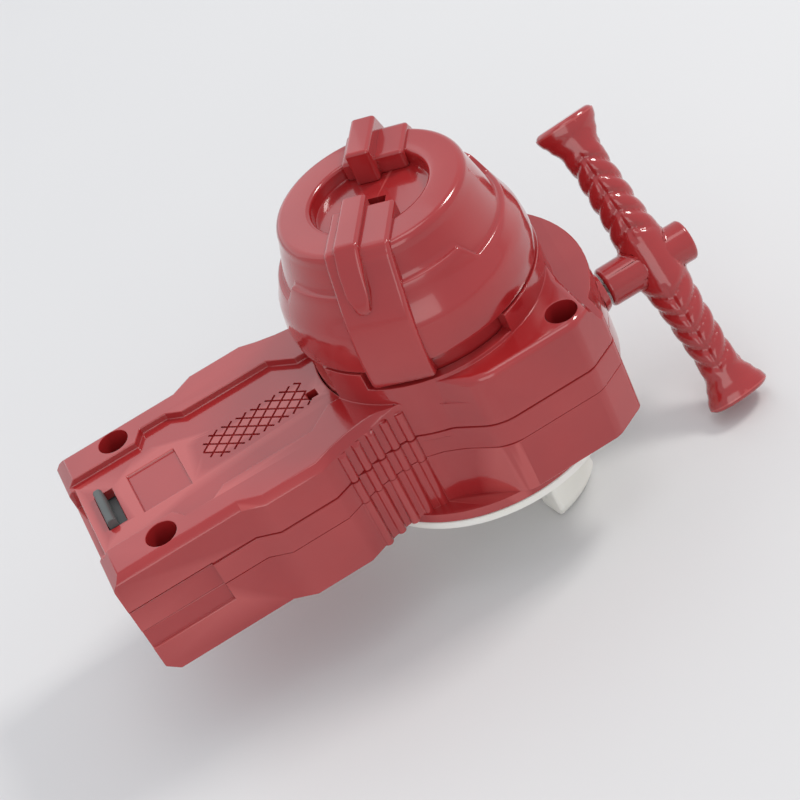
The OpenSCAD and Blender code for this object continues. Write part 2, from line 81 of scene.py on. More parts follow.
def cleanMesh(obj, gap=0.02, flat=0.8):
    pick(obj)
    bpy.ops.object.mode_set(mode="EDIT")
    bpy.ops.mesh.select_all(action="SELECT")
    bpy.ops.mesh.remove_doubles(threshold=gap * mm)
    bpy.ops.mesh.dissolve_limited(angle_limit=math.radians(flat))
    bpy.ops.mesh.select_all(action="DESELECT")
    bpy.ops.object.mode_set(mode="OBJECT")


def copyNode(name, piece):
    obj = bpy.data.objects.new(piece, frame["nodes"][name].data.copy())
    obj.data.name = piece
    obj.data.materials.clear()
    bpy.context.scene.collection.objects.link(obj)
    pick(obj)
    bpy.ops.mesh.customdata_custom_splitnormals_clear()
    cleanMesh(obj)
    return obj


def applyAll(obj):
    pick(obj)
    for mod in list(obj.modifiers):
        bpy.ops.object.modifier_apply(modifier=mod.name)


def evenShading(obj, angle=40):
    pick(obj)
    bpy.ops.object.shade_smooth_by_angle(angle=math.radians(angle))
    even = obj.modifiers.new("even", "WEIGHTED_NORMAL")  # flat faces stay flat beside their rounded edges
    even.keep_sharp = True
    even.weight = 100
    applyAll(obj)


def softenEdges(obj, width, segments=2, angle=28, shade=True, skip=None):
    bm = bmesh.new()
    bm.from_mesh(obj.data)
    layers = bm.edges.layers.float
    weight = layers.get("bevel_weight_edge") or layers.new("bevel_weight_edge")
    for ed in bm.edges:
        turn = ed.calc_face_angle(0.0) if len(ed.link_faces) == 2 else 0.0
        ed[weight] = 1.0 if turn > math.radians(angle) and not (skip and skip(ed)) else 0.0
    bm.to_mesh(obj.data)
    bm.free()
    mod = obj.modifiers.new("soft", "BEVEL")
    mod.width = width
    mod.segments = segments
    mod.limit_method = "WEIGHT"
    mod.use_clamp_overlap = False
    mod.loop_slide = True
    applyAll(obj)
    if shade:
        evenShading(obj)


def middle(ed):
    return (ed.verts[0].co + ed.verts[1].co) / (2 * mm)


def climb(ed):
    return abs(ed.verts[0].co.z - ed.verts[1].co.z)


def pickFaces(obj, test):
    pick(obj)
    bpy.ops.object.mode_set(mode="EDIT")
    bpy.ops.mesh.select_mode(type="FACE")
    bpy.ops.mesh.select_all(action="DESELECT")
    bm = bmesh.from_edit_mesh(obj.data)
    for f in bm.faces:
        f.select_set(bool(test(f.calc_center_median() / mm, f.normal)))
    bmesh.update_edit_mesh(obj.data)


def pickEdges(obj, test):
    pick(obj)
    bpy.ops.object.mode_set(mode="EDIT")
    bpy.ops.mesh.select_mode(type="EDGE")
    bpy.ops.mesh.select_all(action="DESELECT")
    bm = bmesh.from_edit_mesh(obj.data)
    for ed in bm.edges:
        ed.select_set(bool(len(ed.link_faces) == 2 and test(ed)))
    bmesh.update_edit_mesh(obj.data)


def splitAt(obj, place, normal, test):
    pickFaces(obj, test)
    bpy.ops.mesh.bisect(plane_co=[v * mm for v in place], plane_no=normal, threshold=0.00001)
    bpy.ops.object.mode_set(mode="OBJECT")


def scribe(obj, level, line, depth, test):
    # a thin line scored round the walls at one height
    splitAt(obj, (0, 0, level - line / 2), (0, 0, 1), test)
    splitAt(obj, (0, 0, level + line / 2), (0, 0, 1), test)
    pickFaces(obj, lambda c, n: test(c, n) and abs(c.z - level) < line * 0.49)
    bpy.ops.mesh.extrude_region_shrink_fatten(TRANSFORM_OT_shrink_fatten={"value": -depth * mm})
    bpy.ops.object.mode_set(mode="OBJECT")


def cutWith(obj, cutter, solver="EXACT", operation="DIFFERENCE"):
    mod = obj.modifiers.new("cut", "BOOLEAN")
    mod.operation = operation
    mod.solver = solver
    mod.object = cutter
    applyAll(obj)
    bpy.data.objects.remove(cutter, do_unlink=True)


def joinAll(objs, name):
    bpy.ops.object.select_all(action="DESELECT")
    for o in objs:
        o.select_set(True)
    bpy.context.view_layer.objects.active = objs[0]
    bpy.ops.object.join()
    obj = bpy.context.view_layer.objects.active
    obj.name = name
    obj.data.name = name
    pick(obj)
    bpy.ops.object.transform_apply(location=True, rotation=True, scale=True)
    return obj


def sheet(columns, rows, place):
    # a flat grid whose points are laid out column by column
    bpy.ops.object.select_all(action="DESELECT")
    bpy.ops.mesh.primitive_grid_add(x_subdivisions=columns, y_subdivisions=rows - 1, size=1)
    obj = bpy.context.object
    bm = bmesh.new()
    bm.from_mesh(obj.data)
    order = sorted(bm.verts, key=lambda v: (round(v.co.x, 6), round(v.co.y, 6)))
    for i, v in enumerate(order):
        v.co = place(*divmod(i, rows)) * mm
    bm.to_mesh(obj.data)
    bm.free()
    return obj


def ringCuts(obj, cuts):
    # splits the long edges of a fresh cylinder into rings, and stays in edit mode
    bpy.ops.object.mode_set(mode="EDIT")
    bm = bmesh.from_edit_mesh(obj.data)
    for ed in bm.edges:
        ed.select_set(climb(ed) > mm)
    bmesh.update_edit_mesh(obj.data)
    bpy.ops.mesh.subdivide(number_cuts=cuts)
    return bmesh.from_edit_mesh(obj.data)


def closeUp(obj, merge=0.0, fill=False):
    # seams joined, ends filled and faces turned outwards
    pick(obj)
    bpy.ops.object.mode_set(mode="EDIT")
    bpy.ops.mesh.select_all(action="SELECT")
    if merge:
        bpy.ops.mesh.remove_doubles(threshold=merge)
    if fill:
        bpy.ops.mesh.fill_holes(sides=0)
        bpy.ops.mesh.select_all(action="SELECT")
    bpy.ops.mesh.normals_make_consistent(inside=False)
    bpy.ops.object.mode_set(mode="OBJECT")


def paint(obj, mat):
    obj.data.materials.clear()
    obj.data.materials.append(mat)


# materials
redFinish = {"a": (0.32, 0.015, 0.017), "b": (0.37, 0.021, 0.022), "wear": (0.52, 0.085, 0.08),
             "rough": (0.12, 0.22), "grain": 0.02, "coat": 0.6}
whiteFinish = {"a": (0.80, 0.79, 0.73), "b": (0.87, 0.865, 0.82), "rough": (0.3, 0.42), "grain": 0.04,
               "through": 0.35}
innerFinish = {"a": (0.66, 0.65, 0.61), "b": (0.74, 0.73, 0.7), "rough": (0.42, 0.6), "grain": 0.06}
darkFinish = {"a": (0.075, 0.085, 0.083), "b": (0.12, 0.13, 0.128), "wear": (0.2, 0.21, 0.21),
              "rough": (0.4, 0.55), "grain": 0.12}
steelFinish = {"a": (0.5, 0.5, 0.52), "b": (0.62, 0.62, 0.64), "rough": (0.25, 0.4), "grain": 0.1}
bushFinish = {"a": (0.55, 0.42, 0.2), "b": (0.64, 0.5, 0.26), "rough": (0.3, 0.45), "grain": 0.1}
cordFinish = {"a": (0.70, 0.68, 0.62), "b": (0.80, 0.79, 0.74), "rough": (0.7, 0.85), "grain": 0.2,
              "plaitScale": 420.0, "plaitWander": 1.5, "plaitRelief": 0.5}
skinSpec = {"cloud": (45.0, 3.0), "cloudSpan": (0.35, 0.7), "wearSpan": (0.535, 0.62), "wearMost": 0.6,
            "smear": (160.0, 5.0), "skin": (1400.0, 2.0), "skinDepth": 0.0002, "coatRough": 0.05,
            "glowRadius": (0.004, 0.004, 0.0035), "glowScale": 0.6}


def noiseNode(nt, coord, scale, detail):
    node = nt.nodes.new("ShaderNodeTexNoise")
    node.inputs["Scale"].default_value = scale
    node.inputs["Detail"].default_value = detail
    nt.links.new(coord.outputs["Object"], node.inputs["Vector"])
    return node


def rampNode(nt, span, first, last):
    node = nt.nodes.new("ShaderNodeValToRGB")
    for stop, position, colour in zip(node.color_ramp.elements, span, (first, last)):
        stop.position = position
        stop.color = (*colour, 1)
    return node


def mouldedPlastic(name, finish):
    mat = bpy.data.materials.new(name)
    mat.use_nodes = True
    nt = mat.node_tree
    nodes, links = nt.nodes, nt.links
    shader = nodes["Principled BSDF"]
    coord = nodes.new("ShaderNodeTexCoord")
    cloud = noiseNode(nt, coord, *skinSpec["cloud"])  # slow drift of pigment
    tint = rampNode(nt, skinSpec["cloudSpan"], finish["a"], finish["b"])
    links.new(cloud.outputs["Fac"], tint.inputs["Fac"])
    colour = tint.outputs["Color"]
    if "wear" in finish:
        geo = nodes.new("ShaderNodeNewGeometry")  # rubbed corners
        edge = rampNode(nt, skinSpec["wearSpan"], (0, 0, 0), (skinSpec["wearMost"],) * 3)
        links.new(geo.outputs["Pointiness"], edge.inputs["Fac"])
        mix = nodes.new("ShaderNodeMix")
        mix.data_type = "RGBA"
        links.new(edge.outputs["Color"], mix.inputs["Factor"])
        links.new(colour, mix.inputs["A"])
        mix.inputs["B"].default_value = (*finish["wear"], 1)
        colour = mix.outputs["Result"]
    links.new(colour, shader.inputs["Base Color"])
    smear = noiseNode(nt, coord, *skinSpec["smear"])  # handling marks in the gloss
    span = nodes.new("ShaderNodeMapRange")
    span.inputs["To Min"].default_value = finish["rough"][0]
    span.inputs["To Max"].default_value = finish["rough"][1]
    links.new(smear.outputs["Fac"], span.inputs["Value"])
    links.new(span.outputs["Result"], shader.inputs["Roughness"])
    skin = noiseNode(nt, coord, *skinSpec["skin"])  # faint moulding texture
    bump = nodes.new("ShaderNodeBump")
    bump.inputs["Strength"].default_value = finish["grain"]
    bump.inputs["Distance"].default_value = skinSpec["skinDepth"]
    links.new(skin.outputs["Fac"], bump.inputs["Height"])
    links.new(bump.outputs["Normal"], shader.inputs["Normal"])
    shader.inputs["Coat Weight"].default_value = finish.get("coat", 0.0)
    shader.inputs["Coat Roughness"].default_value = skinSpec["coatRough"]
    if "through" in finish:
        shader.inputs["Subsurface Weight"].default_value = finish["through"]
        shader.inputs["Subsurface Radius"].default_value = skinSpec["glowRadius"]
        shader.inputs["Subsurface Scale"].default_value = skinSpec["glowScale"]
    return mat


def plainMetal(name, finish):
    mat = mouldedPlastic(name, finish)
    mat.node_tree.nodes["Principled BSDF"].inputs["Metallic"].default_value = 1.0
    return mat


def braidedCord(name, finish):
    mat = mouldedPlastic(name, finish)
    nt = mat.node_tree
    wave = nt.nodes.new("ShaderNodeTexWave")  # plait of the cord
    wave.inputs["Scale"].default_value = finish["plaitScale"]
    wave.inputs["Distortion"].default_value = finish["plaitWander"]
    coord = [n for n in nt.nodes if n.type == "TEX_COORD"][0]
    nt.links.new(coord.outputs["Object"], wave.inputs["Vector"])
    bump = [n for n in nt.nodes if n.type == "BUMP"][0]
    bump.inputs["Strength"].default_value = finish["plaitRelief"]
    nt.links.new(wave.outputs["Fac"], bump.inputs["Height"])
    return mat


redPlastic = mouldedPlastic("red_plastic", redFinish)
whitePlastic = mouldedPlastic("white_plastic", whiteFinish)
innerPlastic = mouldedPlastic("drive_plastic", innerFinish)
darkPlastic = mouldedPlastic("dark_plastic", darkFinish)
screwSteel = plainMetal("steel", steelFinish)
bushMetal = plainMetal("bush_metal", bushFinish)
cordBraid = braidedCord("cord", cordFinish)
finishOf = {"red_plastic": redPlastic, "white_plastic": whitePlastic, "drive_plastic": innerPlastic,
            "dark_plastic": darkPlastic, "steel": screwSteel, "bush_metal": bushMetal, "cord": cordBraid}
for part in frame["record"]["subparts"]:  # every carried-over node gets its finish
    node = frame["nodes"].get(part["node"])
    if node:
        paint(node, finishOf[part["material_slot"]])
paint(frame["nodes"]["dial_retainer"], redPlastic)
print("materials made")


# upper and lower shell: drafted wing ends, rounded corners and rims, a scored line, and the engraved grid
shellSpec = {"scoreLevel": 22.2, "scoreWidth": 0.24, "scoreDepth": 0.25, "rail": 31.0, "wingTop": 34.0,
             "flange": 28.6, "underside": 4.5, "skirt": 31.0, "tailEnd": -80.0, "tailSide": 21.1, "jog": -50.03,
             "railFrom": -49.5, "railTo": -16.0, "railStop": 0.7, "railStep": 1.5, "wingStep": 1.0, "rim": 1.48,
             "wingRim": 1.5, "soft": 0.26, "merge": 0.004, "easeLength": 5.0, "easeStart": 0.06,
             "draftFrom": (22.5, 27.66), "draftTo": (24.1, 26.6), "wingHole": (18.4, 25.1),
             "tailHole": (-64.4, 16.35)}
cornerTable = [((-1.5, 30.0), 3.2), ((18.6, 30.0), 1.1), ((25.6, 25.8), 1.1)]  # place and rounding
zoneSpec = {"wallInner": 17.0, "wallNose": 23.5, "railInner": 18.0, "wingCollar": 25.1, "wingHoleGap": 3.3,
            "rimInner": 17.5, "rimNose": 22.0, "rimBand": 1.7, "rimCollar": 25.2, "rimHoleGap": 3.4, "skirtBand": 0.6}
gridSpec = {"tail": -50.3, "head": -27.6, "halfWidth": 4.1, "tailRound": 3.4, "pitch": 3.23, "lean": 43.0,
            "line": 0.46, "depth": 0.45, "floor": 29.5, "step": 0.1, "steps": 160, "shortest": 0.6, "lines": (-6, 18)}


def outerWall(c, n):
    outer = abs(c.y) > zoneSpec["wallInner"] or c.x > zoneSpec["wallNose"]
    return abs(n.z) < 0.3 and outer and n.x * c.x * 0.2 + n.y * c.y > 0


def fromHole(c, hole):
    return math.hypot(c.x - hole[0], abs(c.y) - hole[1])


def railWall(c, n):
    span = shellSpec["railFrom"] < c.x < shellSpec["railTo"]
    return span and abs(c.y) > zoneSpec["railInner"] and n.y * c.y > 0


def wingWall(c, n):
    clear = fromHole(c, shellSpec["wingHole"]) > zoneSpec["wingHoleGap"]
    return math.hypot(c.x, c.y) > zoneSpec["wingCollar"] and clear


def upright(ed, x, y):
    near = [abs(v.co.x / mm - x) < 0.2 and abs(abs(v.co.y) / mm - y) < 0.2 for v in ed.verts]
    return climb(ed) > 0.5 * mm and all(near)


def rimPath(obj, level, side, test):
    # the outer edge of a flat top, as one run of points from tail to nose
    bm = bmesh.new()
    bm.from_mesh(obj.data)
    bm.normal_update()
    steps = []
    for ed in bm.edges:
        if any(abs(v.co.z / mm - level) > 0.03 for v in ed.verts):
            continue
        mid = middle(ed)
        walls = [f for f in ed.link_faces if abs(f.normal.z) < 0.3]
        roofs = [f for f in ed.link_faces if f.normal.z > 0.9]
        if len(walls) == 1 and len(roofs) == 1 and mid.y * side > 0 and test(mid, walls[0].normal):
            steps.append([(round(v.co.x / mm, 3), round(v.co.y / mm, 3)) for v in ed.verts])
    bm.free()
    ends = [q for st in steps for q in st]
    path = [min((q for q in ends if ends.count(q) == 1), key=lambda q: q[0])]
    while True:
        near = [st for st in steps if path[-1] in st]
        if not near:
            return path
        steps.remove(near[0])
        path.append(near[0][1] if near[0][0] == path[-1] else near[0][0])


def rimCutter(path, side, level, section, ease):
    # the section is carried along the path, mitred at each corner and eased out at its ends
    pts = [Vector(q) for q in path]
    outs, reach = [], [0.0]
    for q, r in zip(pts, pts[1:]):
        d = (r - q).normalized()
        outs.append(Vector((d.y, -d.x)) * (1 if side < 0 else -1))
        reach.append(reach[-1] + (r - q).length)

    def place(col, row):
        n1, n2 = outs[max(0, col - 1)], outs[min(len(outs) - 1, col)]
        mitre = (n1 + n2) / (1 + n1.dot(n2))
        first = reach[col] / shellSpec["easeLength"] if ease == "both" else 1.0
        last = (reach[-1] - reach[col]) / shellSpec["easeLength"]
        grow = min(1.0, shellSpec["easeStart"] + first, shellSpec["easeStart"] + last)
        off, rise = section[row % len(section)]
        at = pts[col] + mitre * (off * (grow if off < 0 else 1.0))
        return Vector((at.x, at.y, level + rise * (grow if rise < 0 else 1.0)))

    cutter = sheet(len(path) - 1, len(section) + 1, place)
    closeUp(cutter, merge=0.000002, fill=True)
    return cutter


def finer(path, step):
    out = [path[0]]
    for q, r in zip(path, path[1:]):
        n = max(1, round(math.dist(q, r) / step))
        out += [(q[0] + (r[0] - q[0]) * k / n, q[1] + (r[1] - q[1]) * k / n) for k in range(1, n + 1)]
    return out


def roundSection(r):
    turns = [math.radians(15 * k) for k in range(7)]
    return [(-r + r * math.sin(t), -r + r * math.cos(t)) for t in turns] + [(2.2, -r - 2.2), (2.2, 1), (-r, 1)]


def chamferSection(w):
    return [(-w - 0.25, 0), (-w + 0.15, -0.15), (-0.15, -w + 0.15), (0, -w - 0.25), (0.9, -w - 1.15), (0.9, 1),
            (-w - 0.25, 1)]


def railOrWing(ed):
    # rims that the cutters shape, and the upright corners under them, but no screw hole
    mid = middle(ed)
    outer = abs(mid.y) > zoneSpec["rimInner"] or mid.x > zoneSpec["rimNose"]
    atTop = any(abs(mid.z - shellSpec[k]) < zoneSpec["rimBand"] for k in ("rail", "wingTop"))
    rim = outer and atTop and math.hypot(mid.x, mid.y) > zoneSpec["rimCollar"]
    corner = outer and climb(ed) > 1.2 * mm and abs(ed.verts[0].co.x - ed.verts[1].co.x) < 2 * mm
    hole = any(fromHole(mid, shellSpec[k]) < zoneSpec["rimHoleGap"] for k in ("wingHole", "tailHole"))
    return (rim or corner) and not hole


def atSkirt(ed):
    mid = middle(ed)
    level = abs(mid.z - shellSpec["underside"]) < zoneSpec["skirtBand"]
    return level and math.hypot(mid.x, mid.y) < shellSpec["skirt"]


def roundCorners(obj):
    for (x, y), size in cornerTable:
        pickEdges(obj, lambda ed: upright(ed, x, y))
        bpy.ops.mesh.bevel(offset=size * mm, segments=5, affect="EDGES", clamp_overlap=True)
        bpy.ops.object.mode_set(mode="OBJECT")


def inGrid(x, y):
    half = gridSpec["halfWidth"]
    if abs(y) > half or x > gridSpec["head"]:
        return False
    return x >= gridSpec["tail"] + gridSpec["tailRound"] * (1 - math.sqrt(max(0, 1 - (y / half) ** 2)))


def gridBars(way):
    # one family of parallel lines, each cut to length inside the field
    lean = math.radians(gridSpec["lean"]) * way
    run, rise = math.cos(lean), math.sin(lean)
    bars = []
    places = [k * gridSpec["step"] for k in range(-gridSpec["steps"], gridSpec["steps"] + 1)]
    for i in range(*gridSpec["lines"]):
        x0 = gridSpec["tail"] + i * gridSpec["pitch"]
        inside = [t for t in places if inGrid(x0 + t * run, t * rise)]
        if not inside or inside[-1] - inside[0] < gridSpec["shortest"]:
            continue
        t = (inside[0] + inside[-1]) / 2
        bpy.ops.object.select_all(action="DESELECT")
        centre = ((x0 + t * run) * mm, t * rise * mm, gridSpec["floor"] * mm)
        bpy.ops.mesh.primitive_cube_add(size=1, location=centre)
        bar = bpy.context.object
        bar.scale = ((inside[-1] - inside[0]) * mm, gridSpec["line"] * mm, 2 * gridSpec["depth"] * mm)
        bar.rotation_euler = (0, 0, lean)
        bars.append(bar)
    return joinAll(bars, "gridBars")


def draftWings(obj):
    # wing ends lean out to meet the wall below
    (x, y), (toX, toY) = shellSpec["draftFrom"], shellSpec["draftTo"]
    bm = bmesh.new()
    bm.from_mesh(obj.data)
    for v in bm.verts:
        c = v.co / mm
        if abs(c.z - shellSpec["flange"]) < 0.06 and abs(c.x - x) < 0.3 and abs(abs(c.y) - y) < 0.3:
            v.co = Vector((toX, toY if c.y > 0 else -toY, c.z)) * mm
    bm.to_mesh(obj.data)
    bm.free()


upperShell = copyNode("upper_shell", "upperShell")
draftWings(upperShell)
roundCorners(upperShell)
railCuts, wingCuts = [], []
for side in (1, -1):
    rail = rimPath(upperShell, shellSpec["rail"], side, railWall)
    stop = [rail[-2][i] + shellSpec["railStop"] * (rail[-1][i] - rail[-2][i]) for i in (0, 1)]
    edge = side * shellSpec["tailSide"]
    rail = [(shellSpec["tailEnd"], edge), (shellSpec["jog"], edge)] + rail[1:-1] + [stop]
    railCuts.append(rimCutter(finer(rail, shellSpec["railStep"]), side, shellSpec["rail"],
                              chamferSection(shellSpec["rim"]), "nose"))
    wing = rimPath(upperShell, shellSpec["wingTop"], side, wingWall)
    wingCuts.append(rimCutter(finer(wing, shellSpec["wingStep"]), side, shellSpec["wingTop"],
                              roundSection(shellSpec["wingRim"]), "both"))
scribe(upperShell, shellSpec["scoreLevel"], shellSpec["scoreWidth"], shellSpec["scoreDepth"], outerWall)
softenEdges(upperShell, shellSpec["soft"] * mm, 2, shade=False, skip=railOrWing)
cutWith(upperShell, joinAll(railCuts, "railCuts"), "MANIFOLD")
cutWith(upperShell, joinAll(wingCuts, "wingCuts"), "MANIFOLD")
for way in (1, -1):
    cutWith(upperShell, gridBars(way), "MANIFOLD")
cleanMesh(upperShell, shellSpec["merge"])
evenShading(upperShell)
paint(upperShell, redPlastic)
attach(upperShell, "casing")
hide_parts("upper_shell")

lowerShell = copyNode("lower_shell", "lowerShell")
roundCorners(lowerShell)
softenEdges(lowerShell, shellSpec["soft"] * mm, 2, skip=atSkirt)
paint(lowerShell, redPlastic)
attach(lowerShell, "casing")
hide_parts("lower_shell")
print("shells done:", len(upperShell.data.polygons), len(lowerShell.data.polygons), "faces")


# selector dial: turned body with a zigzag ledge, a sunk top and two straps
dialSpec = {"top": 61.3, "stepLow": 50.6, "stepHigh": 54.3, "highSpan": 50.0, "slant": 6.5, "columns": 300,
            "bandFrom": 39.8, "coneRadius": 18.6, "coneLevel": 59.9, "coneSlope": 0.298, "coneTop": 59.3,
            "rimRadius": 17.2, "rimWidth": 1.57, "rimLevel": 59.5, "rimHeight": 1.8,
            "keyHole": (3.2, 4.4, 6.0), "keyLevel": 57.2}
strapSpec = {"angle": -120.0, "half": 6.2, "crown": 0.02, "crownFrom": 19.0, "bandSoft": 0.8, "ridgeSoft": 0.75,
             "corner": 24, "ridgeLeft": -4.0, "ridgeRight": 0.8, "ridgeCentre": 1.6, "pointLevel": 53.0,
             "pointWidth": 0.45, "front": (3.4, 2.2), "back": (6.5, 4.2)}
postSpec = {"x": 14.0, "radius": 2.8, "length": 15.0, "level": 49.1, "wall": 1.75, "bore": 5.2}
bandTable = [(39.0, 24.8), (42.0, 24.95), (46.0, 24.35), (50.5, 22.45), (54.8, 21.15), (58.0, 20.2)]
dialFoot = [(22.5, 30.85), (22.5, 38.6), (22.7, 39.0), (24.45, 39.0), (24.72, 39.12), (24.82, 39.45)]
dialTop = [(15.0, 61.3), (12.4, 61.3), (11.95, 61.2), (11.65, 60.9), (11.5, 60.5), (11.5, 58.8), (11.35, 58.45),
           (11.0, 58.3), (6.0, 58.3), (0.0, 58.3), (0.0, 56.1), (17.2, 56.1), (19.0, 50.5), (20.9, 42.2),
           (20.95, 30.85), (22.5, 30.85)]


def coneRadius(z):
    return dialSpec["coneRadius"] + (dialSpec["coneLevel"] - z) * dialSpec["coneSlope"]


def bandRadius(z):
    for (a, ra), (b, rb) in zip(bandTable, bandTable[1:]):
        if z <= b:
            return ra + (rb - ra) * (z - a) / (b - a)
    return bandTable[-1][1]


def stepLevel(angle):
    off = (angle - strapSpec["angle"] + 90) % 180 - 90
    t = min(1.0, max(0.0, (abs(off) - dialSpec["highSpan"]) / dialSpec["slant"]))
    return dialSpec["stepHigh"] + (dialSpec["stepLow"] - dialSpec["stepHigh"]) * t


def levels(low, high, count):
    return [low + (high - low) * k / (count - 1) for k in range(count)]


def dialProfile(angle):
    step = stepLevel(angle)
    band, cone = bandRadius(step), coneRadius(step)
    rim = [math.radians(15 * k) for k in range(1, 7)]
    pts = dialFoot + [(bandRadius(z), z) for z in levels(dialSpec["bandFrom"], step - 0.4, 12)]
    pts += [(band - 0.06, step - 0.16), (band - 0.26, step), (cone + 0.22, step + 0.02), (cone + 0.03, step + 0.2)]
    pts += [(coneRadius(z), z) for z in levels(step + 0.5, dialSpec["coneTop"], 8)]
    pts += [(dialSpec["rimRadius"] + dialSpec["rimWidth"] * math.cos(t),
             dialSpec["rimLevel"] + dialSpec["rimHeight"] * math.sin(t)) for t in rim]
    return pts + dialTop


def dialPoint(col, row):
    angle = 360.0 * col / dialSpec["columns"]
    r, z = dialProfile(angle)[row]
    return Vector((r * math.cos(math.radians(angle)), r * math.sin(math.radians(angle)), z))


def dialBody():
    # a sheet wrapped round the axis and shaped row by row
    body = sheet(dialSpec["columns"], len(dialProfile(0)), dialPoint)
    pick(body)
    bpy.ops.object.mode_set(mode="EDIT")
    bpy.ops.mesh.select_all(action="SELECT")
    bpy.ops.mesh.remove_doubles(threshold=0.000004)
    bpy.ops.mesh.dissolve_degenerate(threshold=0.000002)
    bpy.ops.mesh.normals_make_consistent(inside=False)
    bpy.ops.object.mode_set(mode="OBJECT")
    return body


def strapSlab(points, low, high):
    # side view drawn as a flat face, then pulled out to the strap's width
    bpy.ops.object.select_all(action="DESELECT")
    bpy.ops.mesh.primitive_circle_add(vertices=len(points), radius=1, fill_type="NGON")
    slab = bpy.context.object
    for v, (x, z) in zip(slab.data.vertices, points):
        v.co = Vector((x, low, z)) * mm
    bpy.ops.object.mode_set(mode="EDIT")
    bpy.ops.mesh.select_all(action="SELECT")
    bpy.ops.mesh.extrude_region_move(TRANSFORM_OT_translate={"value": (0, (high - low) * mm, 0)})
    bpy.ops.object.mode_set(mode="OBJECT")
    closeUp(slab)
    return slab


def strapPieces(start, rise, side, turn):
    top = dialSpec["top"]
    half = strapSpec["half"]
    bandSide = [(start + 2, top - 3.2), (start + 2, top + 1), (17.6, top + 1), (19.9, top - 1), (22.3, 54.8),
                (24.2, 50.6), (25.3, 46.6), (26.0, 42.6), (26.1, 39), (26.0, 36.6), (25.4, 35.5), (23.6, 35.5),
                (23.5, 39), (21.8, 42), (15.5, top - 3.2)]
    ridgeSide = [(start, top - 3.2), (start, top + rise), (18, top + rise), (20.9, top - 1.3), (23.0, 55.6),
                 (23.9, 52.4), (23.3, 51.2), (21.5, 52.2), (15.5, top - 3.2)]
    band = strapSlab(bandSide, -half, half)
    ridge = strapSlab(ridgeSide, *sorted((strapSpec["ridgeLeft"] * side, strapSpec["ridgeRight"] * side)))
    centre = strapSpec["ridgeCentre"] * side
    for v in ridge.data.vertices:  # ridge runs out to a point on the band
        if v.co.z < strapSpec["pointLevel"] * mm:
            v.co.y = (-centre + (v.co.y / mm + centre) * strapSpec["pointWidth"]) * mm
    softenEdges(band, strapSpec["bandSoft"] * mm, 4, angle=strapSpec["corner"])
    softenEdges(ridge, strapSpec["ridgeSoft"] * mm, 4, angle=strapSpec["corner"])
    for v in band.data.vertices:  # crowned across its width
        if v.co.x > strapSpec["crownFrom"] * mm:
            v.co.x -= strapSpec["crown"] * (v.co.y / mm) ** 2 * mm
    for obj in (band, ridge):
        obj.data.transform(Matrix.Rotation(math.radians(strapSpec["angle"] + turn), 4, "Z"))
    return [band, ridge]


def dialPosts():
    # posts inside the dial that take the cam's screws
    posts = []
    for x in (postSpec["x"], -postSpec["x"]):
        bpy.ops.object.select_all(action="DESELECT")
        bpy.ops.mesh.primitive_cylinder_add(vertices=32, radius=postSpec["radius"] * mm, depth=postSpec["length"] * mm,
                                            location=(x * mm, 0, postSpec["level"] * mm))
        post = bpy.context.object
        bpy.ops.object.transform_apply(location=True, rotation=True, scale=True)
        pickFaces(post, lambda c, n: n.z < -0.9)
        bpy.ops.mesh.inset(thickness=postSpec["wall"] * mm)
        bpy.ops.mesh.extrude_region_move(TRANSFORM_OT_translate={"value": (0, 0, postSpec["bore"] * mm)})
        bpy.ops.object.mode_set(mode="OBJECT")
        post.data.transform(Matrix.Rotation(math.radians(strapSpec["angle"]), 4, "Z"))
        posts.append(post)
    return posts


body = dialBody()
bpy.ops.object.select_all(action="DESELECT")
bpy.ops.mesh.primitive_cube_add(size=1, location=(0, 0, dialSpec["keyLevel"] * mm))
keyHole = bpy.context.object  # square drive hole in the middle of the sunk top
keyHole.scale = [v * mm for v in dialSpec["keyHole"]]
keyHole.rotation_euler = (0, 0, math.radians(strapSpec["angle"]))
cutWith(body, keyHole)
evenShading(body)
straps = strapPieces(*strapSpec["front"], 1, 0) + strapPieces(*strapSpec["back"], -1, 180)
selectorDial = joinAll([body] + straps + dialPosts(), "selectorDial")
paint(selectorDial, redPlastic)
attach(selectorDial, "selector")
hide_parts("selector_dial")
print("dial done:", len(selectorDial.data.polygons), "faces")

# grip latch, softened only where its tab stands above the slot
latchSpec = {"soft": 0.25, "tabFrom": 29.3}
gripLatch = copyNode("grip_latch", "gripLatch")
softenEdges(gripLatch, latchSpec["soft"] * mm, 3,
            skip=lambda ed: min(v.co.z for v in ed.verts) < latchSpec["tabFrom"] * mm)
paint(gripLatch, darkPlastic)
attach(gripLatch, "latch")
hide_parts("grip_latch")

# launch disc and its two prongs
discSpec = {"launch_disc": ("launchDisc", 0.3), "prong_front": ("prongFront", 0.8), "prong_back": ("prongBack", 0.8)}
for name, (piece, soft) in discSpec.items():
    obj = copyNode(name, piece)
    softenEdges(obj, soft * mm, 3)
    paint(obj, whitePlastic)
    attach(obj, "rotor")
    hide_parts(name)
print("latch and launch disc done")


